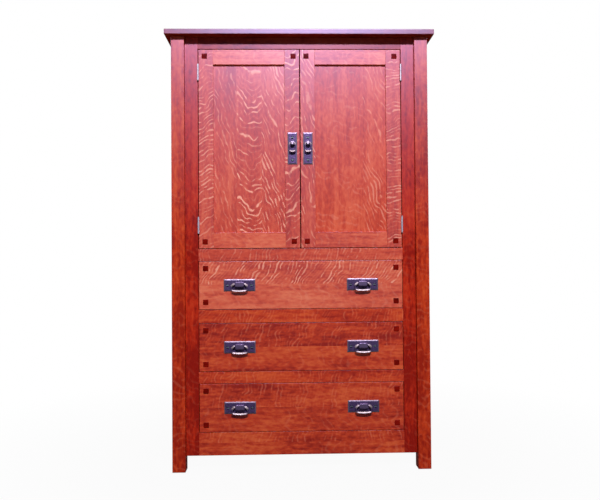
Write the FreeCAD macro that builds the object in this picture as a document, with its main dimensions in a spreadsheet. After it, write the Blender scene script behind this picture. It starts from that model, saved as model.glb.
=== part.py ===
# Computer armoire in stained oak: a post-and-panel carcass with two panelled doors over three drawers.
# +Z is up, the front faces -Y, and the origin lies on the floor under the middle of the top board.
import FreeCAD
import Part
import math
import os

# Driving dimensions in millimetres.
SIZES = {
    # Carcass
    "carcass_width": 1067.0,
    "carcass_depth": 610.0,
    "post_size": 54.0,
    "post_ease": 2.0,
    "foot_height": 63.0,
    "top_thickness": 22.0,
    "top_overhang": 25.0,
    "top_ease": 2.5,
    # Face frame, from the base rail up
    "face_setback": 18.0,
    "face_thickness": 22.0,
    "face_stile_width": 54.0,
    "base_rail_height": 94.0,
    "drawer_opening": 202.0,
    "lower_rail_height": 48.0,
    "upper_rail_height": 55.0,
    "desk_rail_height": 50.0,
    "door_opening": 836.0,
    "top_rail_height": 48.0,
    # Joinery shared by the frames
    "tenon_length": 30.0,
    "tenon_shoulder": 10.0,
    "panel_thickness": 8.0,
    "groove_depth": 10.0,
    "joint_clearance": 0.2,
    "board_ease": 0.7,
    "cut_overrun": 2.0,
    # Sides and back
    "side_inset": 10.0,
    "side_rail_thickness": 22.0,
    "side_top_rail_height": 84.0,
    "side_middle_rail_height": 84.0,
    "back_panel_thickness": 6.0,
    "back_rabbet": 10.0,
    "back_rail_thickness": 20.0,
    "back_rail_height": 84.0,
    "cable_hole_radius": 30.0,
    "cable_hole_rise": 176.0,
    "cable_hole_aside": 240.0,
    # Cabinet behind the doors
    "board_thickness": 18.0,
    "cleat_size": 22.0,
    "shelf_rise": 470.0,
    "shelf_front_gap": 14.0,
    "shelf_side_gap": 1.5,
    "shelf_pin_radius": 3.5,
    "shelf_pin_reach": 12.0,
    "catch_width": 46.0,
    "catch_depth": 14.0,
    "catch_height": 26.0,
    "catch_drop": 13.0,
    "catch_offset": 60.0,
    # Doors
    "door_thickness": 21.0,
    "door_gap": 3.0,
    "meeting_gap": 4.0,
    "door_stile_width": 61.0,
    "door_top_rail_height": 62.0,
    "door_bottom_rail_height": 65.0,
    "door_panel_recess": 9.0,
    # Pegs
    "peg_size": 22.0,
    "peg_depth": 6.0,
    "peg_proud": 1.5,
    "peg_ease": 1.0,
    "peg_clearance": 0.1,
    "door_peg_side": 25.0,
    "door_peg_end": 27.0,
    "drawer_peg_side": 27.0,
    "drawer_peg_end": 29.0,
    # Butt hinges
    "hinge_length": 64.0,
    "hinge_inset": 96.0,
    "barrel_radius": 4.0,
    "barrel_clearance": 0.4,
    "leaf_thickness": 1.2,
    "leaf_width": 18.0,
    "knuckle_gap": 0.4,
    "pin_radius": 2.0,
    "pin_clearance": 0.05,
    "pin_head_height": 2.5,
    # Drawers
    "drawer_gap": 2.0,
    "drawer_front_thickness": 22.0,
    "drawer_front_ease": 1.2,
    "drawer_length": 520.0,
    "drawer_side_thickness": 13.0,
    "drawer_side_height": 165.0,
    "drawer_bottom_thickness": 6.0,
    "drawer_bottom_rise": 12.0,
    "drawer_groove": 6.0,
    "tail_length": 14.0,
    "tail_width": 26.0,
    "tail_root_width": 20.0,
    "tail_pitch": 38.0,
    "tail_margin": 25.0,
    "runner_ledge": 26.0,
    "runner_height": 24.0,
    "guide_height": 40.0,
    "slide_clearance": 0.4,
    # Pulls: plates with a boss, and the bars that hang from it
    "plate_thickness": 3.0,
    "plate_ease": 0.8,
    "boss_depth": 16.0,
    "boss_ease": 2.0,
    "pivot_standoff": 10.5,
    "bar_tip_radius": 2.0,
    "bar_tip_clearance": 0.08,
    "bar_end_gap": 0.5,
    "drawer_plate_width": 131.0,
    "drawer_plate_height": 50.0,
    "drawer_pull_offset": 256.0,
    "drawer_boss_width": 38.0,
    "drawer_boss_height": 17.0,
    "drawer_pivot_rise": 6.0,
    "bail_half_width": 31.0,
    "bail_shoulder_drop": 10.0,
    "bail_drop": 29.0,
    "bail_foot_inset": 3.0,
    "bail_bend": 8.0,
    "bail_radius": 3.4,
    "bail_tip_reach": 10.0,
    "door_plate_width": 40.0,
    "door_plate_height": 134.0,
    "door_boss_width": 10.0,
    "door_boss_height": 14.0,
    "door_pivot_rise": 24.0,
    "ring_half_width": 11.8,
    "ring_shoulder_drop": 7.0,
    "ring_drop": 38.0,
    "ring_foot_inset": 1.5,
    "ring_bend": 5.0,
    "ring_radius": 2.8,
    "ring_tip_reach": 4.0,
}
KNUCKLES = 5
TAILS = 4
LEFT, RIGHT = -1, 1
SIDE_NAMES = {LEFT: "left", RIGHT: "right"}

doc = FreeCAD.newDocument("computer_armoire")
sheet = doc.addObject("Spreadsheet::Sheet", "Sizes")
for row, (alias, number) in enumerate(SIZES.items(), 1):
    sheet.set(f"A{row}", alias)
    sheet.set(f"B{row}", str(number))
    sheet.setAlias(f"B{row}", alias)
doc.recompute()


class Size:
    """A length kept as a formula of the sheet's cells, so that shapes are bound to it."""

    def __init__(self, text):
        self.text = text

    def joined(self, sign, other):
        return Size(f"({self.text} {sign} {other.text if isinstance(other, Size) else other})")

    def __add__(self, other):
        return self.joined("+", other)

    def __sub__(self, other):
        return self.joined("-", other)

    def __mul__(self, count):
        return self.joined("*", count)

    def __truediv__(self, count):
        return self.joined("/", count)

    def __neg__(self):
        return Size(f"(0 - {self.text})")

    def number(self):
        return float(sheet.evalExpression(self.text))


class Cells:
    """Each cell of the sheet, by its alias, as a Size."""

    def __getattr__(self, alias):
        return Size(f"Sizes.{alias}")


cell = Cells()
ZERO = Size("0")
nodes = {}

# Places that several pieces share
half_width = cell.carcass_width / 2
carcass_back = (cell.carcass_depth + cell.top_overhang) / 2
post_front = cell.top_overhang - carcass_back
front_post_back = post_front + cell.post_size
rear_post_front = carcass_back - cell.post_size
post_inner = half_width - cell.post_size
opening_half = post_inner - cell.face_stile_width
face_front = post_front + cell.face_setback
face_back = face_front + cell.face_thickness
back_rail_front = carcass_back - cell.back_panel_thickness - cell.back_rail_thickness
side_rail_inner = half_width - cell.side_inset - cell.side_rail_thickness
lower_opening_z = cell.foot_height + cell.base_rail_height
lower_rail_z = lower_opening_z + cell.drawer_opening
middle_opening_z = lower_rail_z + cell.lower_rail_height
upper_rail_z = middle_opening_z + cell.drawer_opening
upper_opening_z = upper_rail_z + cell.upper_rail_height
desk_rail_z = upper_opening_z + cell.drawer_opening
cabinet_z = desk_rail_z + cell.desk_rail_height
top_rail_z = cabinet_z + cell.door_opening
post_height = top_rail_z + cell.top_rail_height


def bind(thing, **formulas):
    for name, size in formulas.items():
        thing.setExpression(name, size.text)


def place(thing, corner):
    for axis, size in zip("xyz", corner):
        thing.setExpression(f"Placement.Base.{axis}", size.text)


def across(side, inner, width):
    """Lower X of a piece on one side whose inner face is this far from the middle."""
    return inner if side == RIGHT else -(inner + width)


def block(name, corner, size):
    """A plain block from its lower corner."""
    box = doc.addObject("Part::Box", name)
    bind(box, Length=size[0], Width=size[1], Height=size[2])
    place(box, corner)
    return box


def room(name, corner, size, clearance):
    """The space that a block needs in its neighbours."""
    grown = [length + clearance * 2 for length in size]
    return block(name, [low - clearance for low in corner], grown)


def rod(name, start, length, radius, axis):
    """A round bar along X, Y or Z from its start."""
    turns = {"x": FreeCAD.Rotation(FreeCAD.Vector(0, 1, 0), 90),
             "y": FreeCAD.Rotation(FreeCAD.Vector(1, 0, 0), -90),
             "z": FreeCAD.Rotation()}
    bar = doc.addObject("Part::Cylinder", name)
    bar.Placement = FreeCAD.Placement(FreeCAD.Vector(), turns[axis])
    bind(bar, Radius=radius, Height=length)
    place(bar, start)
    return bar


def eased(name, box, ease):
    """A block with all twelve edges rounded."""
    rounded = doc.addObject("Part::Fillet", name)
    rounded.Base = box
    rounded.Edges = [(edge, ease.number(), ease.number()) for edge in range(1, 13)]
    return rounded


def board(name, corner, size, ease=cell.board_ease):
    return eased(f"{name}_board", block(f"{name}_stock", corner, size), ease)


def fused(name, pieces):
    joined = doc.addObject("Part::MultiFuse", name)
    joined.Shapes = pieces
    return joined


def cut(name, base, tools):
    """A piece with the tools taken out of it."""
    result = doc.addObject("Part::Cut", f"{name}_cut")
    result.Base = base
    result.Tool = tools[0] if len(tools) == 1 else fused(f"{name}_tools", tools)
    return result


def node(label, pieces):
    """Names a finished sub-part: one piece, or a group of separate pieces."""
    finished = pieces[0]
    if len(pieces) > 1:
        finished = doc.addObject("Part::Compound", f"{label}_group")
        finished.Links = pieces
    finished.Label = label
    nodes[label] = finished


def framed_rail(name, corner, size, axis, tenon_low):
    """A rail with a tenon at each end along one axis, and the room that the tenons need.

    tenon_low is where the tenon starts across the rail's thickness.
    """
    along, over = (0, 1) if axis == "x" else (1, 0)
    tenon_corner, tenon_size = list(corner), list(size)
    tenon_corner[along] = corner[along] - cell.tenon_length
    tenon_size[along] = size[along] + cell.tenon_length * 2
    tenon_corner[over] = tenon_low
    tenon_size[over] = cell.panel_thickness
    tenon_corner[2] = corner[2] + cell.tenon_shoulder
    tenon_size[2] = size[2] - cell.tenon_shoulder * 2
    stick = board(name, corner, size)
    tenons = block(f"{name}_tenons", tenon_corner, tenon_size)
    rail = fused(f"{name}_rail", [stick, tenons])
    return rail, room(f"{name}_mortises", tenon_corner, tenon_size, cell.joint_clearance)


def panel_in_grooves(name, low, high, face, axis):
    """A flat panel whose edges enter the grooves of its frame, and the room for it.

    low and high are the corners of the opening along the panel and up; face is the lower of its two faces.
    """
    reach = cell.groove_depth
    along = [low[0] - reach, high[0] - low[0] + reach * 2]
    upward = [low[1] - reach, high[1] - low[1] + reach * 2]
    through = [face, cell.panel_thickness]
    order = (along, through, upward) if axis == "x" else (through, along, upward)
    corner = [pair[0] for pair in order]
    size = [pair[1] for pair in order]
    return (block(f"{name}_panel", corner, size),
            room(f"{name}_grooves", corner, size, cell.joint_clearance))


def top_board():
    corner = (-(half_width + cell.top_overhang), -carcass_back, post_height)
    size = (cell.carcass_width + cell.top_overhang * 2, cell.carcass_depth + cell.top_overhang,
            cell.top_thickness)
    node("top_board", [board("top", corner, size, cell.top_ease)])


def side_frame(side):
    """Three rails and two flat panels between a front and a rear post."""
    name = SIDE_NAMES[side]
    rail_x = across(side, side_rail_inner, cell.side_rail_thickness)
    plane_inner = side_rail_inner + (cell.side_rail_thickness - cell.panel_thickness) / 2
    plane_x = across(side, plane_inner, cell.panel_thickness)
    length = rear_post_front - front_post_back
    middle_z = desk_rail_z + (cell.desk_rail_height - cell.side_middle_rail_height) / 2
    levels = ((cell.foot_height, cell.base_rail_height),
              (middle_z, cell.side_middle_rail_height),
              (post_height - cell.side_top_rail_height, cell.side_top_rail_height))
    rails, rooms = [], []
    for index, (low, height) in enumerate(levels):
        rail, mortises = framed_rail(f"{name}_side_{index}", (rail_x, front_post_back, low),
                                     (cell.side_rail_thickness, length, height), "y", plane_x)
        rails.append(rail)
        rooms.append(mortises)
    panels, grooves = [], []
    for index in range(2):
        low = (front_post_back, levels[index][0] + levels[index][1])
        high = (rear_post_front, levels[index + 1][0])
        panel, groove = panel_in_grooves(f"{name}_side_{index}", low, high, plane_x, "y")
        panels.append(panel)
        grooves.append(groove)
    node(f"{name}_side_rails", [cut(f"{name}_side_rail_{index}", rail, grooves)
                                for index, rail in enumerate(rails)])
    node(f"{name}_side_panels", panels)
    return rooms + grooves


def shelf_pins():
    """Four pins in the posts that carry the shelf, and the room for them."""
    pin_z = cabinet_z + cell.shelf_rise - cell.shelf_pin_radius
    rows = {"front": (face_back + front_post_back) / 2, "rear": (rear_post_front + back_rail_front) / 2}
    pins, rooms = [], {}
    for side in (LEFT, RIGHT):
        start = across(side, post_inner - cell.shelf_pin_reach, cell.shelf_pin_reach * 2)
        for row_name, y in rows.items():
            name = f"shelf_pin_{SIDE_NAMES[side]}_{row_name}"
            length = cell.shelf_pin_reach * 2
            pins.append(rod(name, (start, y, pin_z), length, cell.shelf_pin_radius, "x"))
            grow = cell.joint_clearance
            rooms[side, row_name] = rod(f"{name}_hole", (start - grow, y, pin_z), length + grow * 2,
                                        cell.shelf_pin_radius + grow, "x")
    node("shelf_pins", pins)
    return rooms


def back_frame():
    """Three back rails with a thin panel behind them; returns the room that they need in the posts."""
    tenon_y = back_rail_front + (cell.back_rail_thickness - cell.panel_thickness) / 2
    levels = (cell.foot_height, cabinet_z - cell.back_rail_height, post_height - cell.back_rail_height)
    rails, rooms = [], []
    for index, low in enumerate(levels):
        rail, mortises = framed_rail(f"back_{index}", (-post_inner, back_rail_front, low),
                                     (post_inner * 2, cell.back_rail_thickness, cell.back_rail_height),
                                     "x", tenon_y)
        rails.append(rail)
        rooms.append(mortises)
    node("back_rails", rails)
    corner = (-(post_inner + cell.back_rabbet), carcass_back - cell.back_panel_thickness, cell.foot_height)
    size = ((post_inner + cell.back_rabbet) * 2, cell.back_panel_thickness, post_height - cell.foot_height)
    sheet_of_ply = block("back_sheet", corner, size)
    hole_start = (cell.cable_hole_aside, carcass_back - cell.back_panel_thickness - cell.cut_overrun,
                  cabinet_z + cell.cable_hole_rise)
    hole = rod("cable_hole", hole_start, cell.back_panel_thickness + cell.cut_overrun * 2,
               cell.cable_hole_radius, "y")
    node("back_panel", [cut("back_panel", sheet_of_ply, [hole])])
    rooms.append(room("back_rabbets", corner, size, cell.joint_clearance))
    return rooms


def corner_post(side, row_name, rooms):
    name = f"{row_name}_{SIDE_NAMES[side]}_post"
    y = post_front if row_name == "front" else rear_post_front
    corner = (across(side, post_inner, cell.post_size), y, ZERO)
    square = board(name, corner, (cell.post_size, cell.post_size, post_height), cell.post_ease)
    node(name, [cut(name, square, rooms)])


def face_frame():
    """Two stiles behind the posts' fronts, and five rails tenoned into them."""
    tenon_y = face_front + (cell.face_thickness - cell.panel_thickness) / 2
    levels = {"base_face_rail": (cell.foot_height, cell.base_rail_height),
              "lower_drawer_rail": (lower_rail_z, cell.lower_rail_height),
              "upper_drawer_rail": (upper_rail_z, cell.upper_rail_height),
              "desk_face_rail": (desk_rail_z, cell.desk_rail_height),
              "top_face_rail": (top_rail_z, cell.top_rail_height)}
    rails, rooms = {}, []
    for name, (low, height) in levels.items():
        rails[name], mortises = framed_rail(name, (-opening_half, face_front, low),
                                            (opening_half * 2, cell.face_thickness, height), "x", tenon_y)
        rooms.append(mortises)
    node("drawer_rails", [rails.pop("lower_drawer_rail"), rails.pop("upper_drawer_rail")])
    for name, rail in rails.items():
        node(name, [rail])
    stiles = []
    for side in (LEFT, RIGHT):
        name = f"{SIDE_NAMES[side]}_face_stile"
        corner = (across(side, opening_half, cell.face_stile_width), face_front, cell.foot_height)
        size = (cell.face_stile_width, cell.face_thickness, post_height - cell.foot_height)
        stiles.append(cut(name, board(name, corner, size), rooms))
    node("face_stiles", stiles)


def inner_boards():
    """The cabinet's floor on its cleats and the shelf, both notched round the posts."""
    notches = []
    for side in (LEFT, RIGHT):
        for row_name, y in (("front", post_front), ("rear", rear_post_front)):
            corner = (across(side, post_inner, cell.post_size), y, ZERO)
            size = (cell.post_size, cell.post_size, post_height)
            notches.append(room(f"notch_{SIDE_NAMES[side]}_{row_name}", corner, size, cell.shelf_side_gap))
    for label, top, front, gap in (
            ("cabinet_floor", cabinet_z, face_back, cell.joint_clearance),
            ("cabinet_shelf", cabinet_z + cell.shelf_rise + cell.board_thickness,
             face_back + cell.shelf_front_gap, cell.shelf_side_gap)):
        reach = side_rail_inner - gap
        stock = block(f"{label}_stock", (-reach, front, top - cell.board_thickness),
                      (reach * 2, back_rail_front - gap - front, cell.board_thickness))
        node(label, [cut(label, stock, notches)])
    cleats = []
    for side in (LEFT, RIGHT):
        corner = (across(side, side_rail_inner - cell.cleat_size, cell.cleat_size), front_post_back,
                  cabinet_z - cell.board_thickness - cell.cleat_size)
        size = (cell.cleat_size, rear_post_front - front_post_back, cell.cleat_size)
        cleats.append(board(f"{SIDE_NAMES[side]}_cleat", corner, size))
    node("floor_cleats", cleats)


def door_catches():
    """A magnetic catch behind the top rail for each door."""
    catches = []
    for side in (LEFT, RIGHT):
        corner = (across(side, cell.catch_offset, cell.catch_width), face_back, top_rail_z - cell.catch_drop)
        size = (cell.catch_width, cell.catch_depth, cell.catch_height)
        catches.append(board(f"{SIDE_NAMES[side]}_catch", corner, size))
    node("door_catches", catches)


def drawer_supports(openings):
    """A ledge under each drawer side, and a guide beside it."""
    runners, guides = [], []
    depth = back_rail_front - face_back
    for name, opening_z in openings.items():
        ledge_z = opening_z + cell.drawer_gap - cell.slide_clearance
        for side in (LEFT, RIGHT):
            label = f"{name}_{SIDE_NAMES[side]}"
            wide = cell.runner_ledge + cell.face_stile_width
            runners.append(block(f"{label}_runner",
                                 (across(side, opening_half - cell.runner_ledge, wide), face_back,
                                  ledge_z - cell.runner_height), (wide, depth, cell.runner_height)))
            guides.append(block(f"{label}_guide",
                                (across(side, opening_half, cell.face_stile_width), face_back, ledge_z),
                                (cell.face_stile_width, depth, cell.guide_height)))
    node("drawer_runners", runners)
    node("drawer_guides", guides)


def pegs(name, x_centres, z_centres):
    """Square pegs that stand a little proud of the front, and the pockets for them."""
    made, pockets = [], []
    half = cell.peg_size / 2
    y = face_front - cell.peg_proud
    size = (cell.peg_size, cell.peg_proud + cell.peg_depth, cell.peg_size)
    for column, x in enumerate(x_centres):
        for level, z in enumerate(z_centres):
            label = f"{name}_peg_{column}_{level}"
            corner = (x - half, y, z - half)
            made.append(board(label, corner, size, cell.peg_ease))
            pockets.append(room(f"{label}_pocket", corner, size, cell.peg_clearance))
    node(f"{name}_pegs", made)
    return pockets


def hinge_leaf(name, side, middle_z, fixed):
    """One leaf of a butt hinge: a plate in the gap beside the door, and its share of the knuckles."""
    axis_x = across(side, opening_half - cell.door_gap / 2, ZERO)
    axis_y = face_front - cell.barrel_radius - cell.barrel_clearance
    inner = opening_half - (cell.leaf_thickness if fixed else cell.door_gap)
    plate_x = across(side, inner, cell.leaf_thickness)
    low = middle_z - cell.hinge_length / 2
    pieces = [block(f"{name}_plate", (plate_x, face_front, low),
                    (cell.leaf_thickness, cell.leaf_width, cell.hinge_length))]
    pitch = cell.hinge_length / KNUCKLES
    for index in range(0 if fixed else 1, KNUCKLES, 2):
        start = low + pitch * index + cell.knuckle_gap / 2
        tall = pitch - cell.knuckle_gap
        pieces.append(rod(f"{name}_knuckle_{index}", (axis_x, axis_y, start), tall, cell.barrel_radius, "z"))
        pieces.append(block(f"{name}_web_{index}", (plate_x, axis_y, start),
                            (cell.leaf_thickness, face_front - axis_y + cell.leaf_width / 2, tall)))
    bore = rod(f"{name}_bore", (axis_x, axis_y, low - cell.cut_overrun),
               cell.hinge_length + cell.cut_overrun * 2, cell.pin_radius + cell.pin_clearance, "z")
    return cut(name, fused(f"{name}_fused", pieces), [bore])


def hinge_pin(name, side, middle_z):
    """A pin through the knuckles, with a head at each end."""
    axis_x = across(side, opening_half - cell.door_gap / 2, ZERO)
    axis_y = face_front - cell.barrel_radius - cell.barrel_clearance
    low = middle_z - cell.hinge_length / 2
    shaft = rod(f"{name}_shaft", (axis_x, axis_y, low - cell.pin_head_height),
                cell.hinge_length + cell.pin_head_height * 2, cell.pin_radius, "z")
    heads = [rod(f"{name}_head_{index}", (axis_x, axis_y, start), cell.pin_head_height,
                 cell.barrel_radius, "z")
             for index, start in enumerate((low - cell.pin_head_height, low + cell.hinge_length))]
    return fused(name, [shaft] + heads)


def pull_plate(name, middle_x, middle_z, kind):
    """A plate with a bored boss for the bar that hangs from it."""
    wide, tall = getattr(cell, f"{kind}_plate_width"), getattr(cell, f"{kind}_plate_height")
    boss_wide = getattr(cell, f"{kind}_boss_width")
    boss_tall = getattr(cell, f"{kind}_boss_height")
    pivot_z = middle_z + getattr(cell, f"{kind}_pivot_rise")
    plate_y = face_front - cell.plate_thickness
    plate = board(f"{name}_plate", (middle_x - wide / 2, plate_y, middle_z - tall / 2),
                  (wide, cell.plate_thickness, tall), cell.plate_ease)
    boss_corner = (middle_x - boss_wide / 2, plate_y - cell.boss_depth, pivot_z - boss_tall / 2)
    boss = board(f"{name}_boss", boss_corner,
                 (boss_wide, cell.boss_depth + cell.plate_thickness / 2, boss_tall), cell.boss_ease)
    bore = rod(f"{name}_bore", (middle_x - boss_wide, plate_y - cell.pivot_standoff, pivot_z),
               boss_wide * 2, cell.bar_tip_radius + cell.bar_tip_clearance, "x")
    return cut(name, fused(f"{name}_cast", [plate, boss]), [bore])


def rounded_path(points, bend):
    """A wire of straight runs joined by tangent arcs of one radius."""
    edges, start = [], points[0]
    for before, corner, after in zip(points, points[1:], points[2:]):
        back = (before - corner).normalize()
        ahead = (after - corner).normalize()
        half_angle = back.getAngle(ahead) / 2
        first = corner + back * (bend / math.tan(half_angle))
        last = corner + ahead * (bend / math.tan(half_angle))
        inward = (back + ahead).normalize()
        middle = corner + inward * (bend / math.sin(half_angle) - bend)
        edges.append(Part.LineSegment(start, first).toShape())
        edges.append(Part.Arc(first, middle, last).toShape())
        start = last
    edges.append(Part.LineSegment(start, points[-1]).toShape())
    return Part.Wire(edges)


def hanging_bar(label, middle_x, middle_z, kind, bar):
    """A bent round bar: two tips in the boss, sloping arms, round shoulders and a straight grip."""
    size = {key: getattr(cell, f"{bar}_{key}").number()
            for key in ("half_width", "shoulder_drop", "drop", "foot_inset", "bend", "radius", "tip_reach")}
    boss_half = (getattr(cell, f"{kind}_boss_width") / 2).number()
    arm = boss_half + size["radius"] + cell.bar_end_gap.number()
    foot = size["half_width"] - size["foot_inset"]
    half = [(arm, 0), (size["half_width"], -size["shoulder_drop"]), (foot, -size["drop"])]
    outline = [FreeCAD.Vector(-x, 0, z) for x, z in half] + [FreeCAD.Vector(x, 0, z) for x, z in half[::-1]]
    section = Part.Circle(outline[0], outline[1] - outline[0], size["radius"]).toShape()
    bent = rounded_path(outline, size["bend"]).makePipeShell([Part.Wire([section])], True, False)
    ends = []
    for end in (outline[0], outline[-1]):
        inward = FreeCAD.Vector(-end.x, 0, 0).normalize()
        reach = arm - boss_half + size["tip_reach"]
        ends.append(Part.makeSphere(size["radius"], end))
        ends.append(Part.makeCylinder(cell.bar_tip_radius.number(), reach, end, inward))
    hanger = doc.addObject("Part::Feature", f"{label}_bar")
    hanger.Shape = bent.fuse(ends).removeSplitter()
    pivot_y = face_front - cell.plate_thickness - cell.pivot_standoff
    place(hanger, (middle_x, pivot_y, middle_z + getattr(cell, f"{kind}_pivot_rise")))
    node(label, [hanger])


def door(side):
    """A door of two stiles, two rails and a flat panel, with its pegs, hinge leaves and pull."""
    name = f"{SIDE_NAMES[side]}_door"
    low = cabinet_z + cell.door_gap
    tall = cell.door_opening - cell.door_gap * 2
    outer = opening_half - cell.door_gap
    inner = cell.meeting_gap / 2
    rail_wide = outer - inner - cell.door_stile_width * 2
    rail_x = across(side, inner + cell.door_stile_width, rail_wide)
    plane_y = face_front + cell.door_panel_recess
    levels = ((low, cell.door_bottom_rail_height),
              (low + tall - cell.door_top_rail_height, cell.door_top_rail_height))
    panel_low = (rail_x, low + cell.door_bottom_rail_height)
    panel_high = (rail_x + rail_wide, low + tall - cell.door_top_rail_height)
    panel, grooves = panel_in_grooves(name, panel_low, panel_high, plane_y, "x")
    node(f"{name}_panel", [panel])
    rails, rooms = [], [grooves]
    for index, (rail_z, height) in enumerate(levels):
        rail, mortises = framed_rail(f"{name}_{index}", (rail_x, face_front, rail_z),
                                     (rail_wide, cell.door_thickness, height), "x", plane_y)
        rails.append(cut(f"{name}_rail_{index}", rail, [grooves]))
        rooms.append(mortises)
    node(f"{name}_rails", rails)
    peg_columns = [across(side, reach, ZERO) for reach in (inner + cell.door_peg_side,
                                                           outer - cell.door_peg_side)]
    rooms += pegs(name, peg_columns, (low + cell.door_peg_end, low + tall - cell.door_peg_end))
    stiles = []
    for index, reach in enumerate((inner, outer - cell.door_stile_width)):
        corner = (across(side, reach, cell.door_stile_width), face_front, low)
        stile = board(f"{name}_stile_{index}", corner, (cell.door_stile_width, cell.door_thickness, tall))
        stiles.append(cut(f"{name}_stile_{index}", stile, rooms))
    node(f"{name}_stiles", stiles)
    hinge_levels = (low + cell.hinge_inset, low + tall - cell.hinge_inset)
    node(f"{name}_hinge_leaves", [hinge_leaf(f"{name}_leaf_{index}", side, level, False)
                                  for index, level in enumerate(hinge_levels)])
    middle_x = across(side, inner + cell.door_stile_width / 2, ZERO)
    middle_z = low + tall / 2
    node(f"{name}_pull_plate", [pull_plate(f"{name}_pull", middle_x, middle_z, "door")])
    hanging_bar(f"{name}_ring", middle_x, middle_z, "door", "ring")
    return hinge_levels


def hinges_on_frame(levels):
    """The leaves and pins that stay on the face frame."""
    leaves, pins = [], []
    for side in (LEFT, RIGHT):
        for index, level in enumerate(levels):
            name = f"{SIDE_NAMES[side]}_hinge_{index}"
            leaves.append(hinge_leaf(f"{name}_fixed_leaf", side, level, True))
            pins.append(hinge_pin(f"{name}_pin", side, level))
    node("fixed_hinge_leaves", leaves)
    node("hinge_pins", pins)


def dovetail(name, x, y, middle_z):
    """A tail that widens towards its tip, from the tip at y back to the drawer side."""
    tail = doc.addObject("Part::Wedge", name)
    taper = (cell.tail_width - cell.tail_root_width) / 2
    bind(tail, Xmin=ZERO, Ymin=ZERO, Zmin=ZERO, X2min=ZERO, Z2min=taper,
         Xmax=cell.drawer_side_thickness, Ymax=cell.tail_length, Zmax=cell.tail_width,
         X2max=cell.drawer_side_thickness, Z2max=cell.tail_width - taper)
    place(tail, (x, y, middle_z - cell.tail_width / 2))
    return tail


def drawer(name, opening_z):
    """A drawer: an inset front, dovetailed sides, a back, a bottom in grooves, pegs and two pulls."""
    low = opening_z + cell.drawer_gap
    tall = cell.drawer_opening - cell.drawer_gap * 2
    front_half = opening_half - cell.drawer_gap
    side_inner = front_half - cell.drawer_side_thickness
    front_inside = face_front + cell.drawer_front_thickness
    rear = face_front + cell.drawer_length
    bottom_z = low + cell.drawer_bottom_rise
    bottom_half = side_inner + cell.drawer_groove
    bottom_corner = (-bottom_half, front_inside - cell.drawer_groove, bottom_z)
    bottom_size = (bottom_half * 2, rear - front_inside + cell.drawer_groove, cell.drawer_bottom_thickness)
    grooves = room(f"{name}_bottom_grooves", bottom_corner, bottom_size, cell.joint_clearance)
    node(f"{name}_drawer_bottom", [block(f"{name}_bottom", bottom_corner, bottom_size)])
    box, tails = [], []
    for side in (LEFT, RIGHT):
        label = f"{name}_{SIDE_NAMES[side]}_side"
        x = across(side, side_inner, cell.drawer_side_thickness)
        own_tails = [dovetail(f"{label}_tail_{index}", x, front_inside - cell.tail_length,
                              low + cell.tail_margin + cell.tail_pitch * index) for index in range(TAILS)]
        plank = block(f"{label}_plank", (x, front_inside, low),
                      (cell.drawer_side_thickness, rear - front_inside, cell.drawer_side_height))
        box.append(cut(label, fused(f"{label}_tailed", [plank] + own_tails), [grooves]))
        tails += own_tails
    back_z = bottom_z + cell.drawer_bottom_thickness + cell.joint_clearance
    box.append(block(f"{name}_back", (-side_inner, rear - cell.drawer_side_thickness, back_z),
                     (side_inner * 2, cell.drawer_side_thickness, low + cell.drawer_side_height - back_z)))
    node(f"{name}_drawer_box", box)
    pockets = pegs(f"{name}_drawer",
                   [across(side, front_half - cell.drawer_peg_side, ZERO) for side in (LEFT, RIGHT)],
                   (low + cell.drawer_peg_end, low + tall - cell.drawer_peg_end))
    face = board(f"{name}_face", (-front_half, face_front, low),
                 (front_half * 2, cell.drawer_front_thickness, tall), cell.drawer_front_ease)
    node(f"{name}_drawer_front", [cut(f"{name}_face", face, tails + [grooves] + pockets)])
    middle_z = low + tall / 2
    plates = []
    for side in (LEFT, RIGHT):
        middle_x = across(side, cell.drawer_pull_offset, ZERO)
        label = f"{name}_drawer_{SIDE_NAMES[side]}"
        plates.append(pull_plate(f"{label}_pull", middle_x, middle_z, "drawer"))
        hanging_bar(f"{label}_bail", middle_x, middle_z, "drawer", "bail")
    node(f"{name}_drawer_pull_plates", plates)


top_board()
side_rooms = {side: side_frame(side) for side in (LEFT, RIGHT)}
pin_rooms = shelf_pins()
back_rooms = back_frame()
for side in (LEFT, RIGHT):
    corner_post(side, "front", side_rooms[side] + [pin_rooms[side, "front"]])
    corner_post(side, "rear", side_rooms[side] + [pin_rooms[side, "rear"]] + back_rooms)
face_frame()
inner_boards()
door_catches()
drawer_openings = {"lower": lower_opening_z, "middle": middle_opening_z, "upper": upper_opening_z}
drawer_supports(drawer_openings)
for side in (LEFT, RIGHT):
    hinge_heights = door(side)
hinges_on_frame(hinge_heights)
for drawer_name, opening in drawer_openings.items():
    drawer(drawer_name, opening)
doc.recompute()

failed = [thing.Name for thing in doc.Objects if {"Invalid", "Error"} & set(thing.State)]
failed += [label for label, thing in nodes.items() if thing.Shape.isNull() or not thing.Shape.isValid()]
if failed:
    raise RuntimeError(f"these pieces failed: {failed}")
os.makedirs("parts", exist_ok=True)
for label, thing in nodes.items():
    thing.Shape.exportStep(f"parts/{label}.step")
    print(f"{label}: {len(thing.Shape.Solids)} solids, {thing.Shape.Volume / 1000:.1f} cm3")
print(f"{len(nodes)} nodes")
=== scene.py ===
# %% [markdown]
# # A computer armoire in quartersawn oak
# The armoire is a tall cabinet of square posts, frames and flat panels, stained red-brown and lacquered.
# Its solids come from CAD with every joint in place, and this lesson gives them their looks: the figured oak,
# the dark square pegs and the hammered pulls. The frame is loaded first, because every later piece takes its
# place from it.

# %% Load the frame
import math

import bmesh
import bpy
import numpy as np
from mathutils import Matrix, Vector


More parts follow.
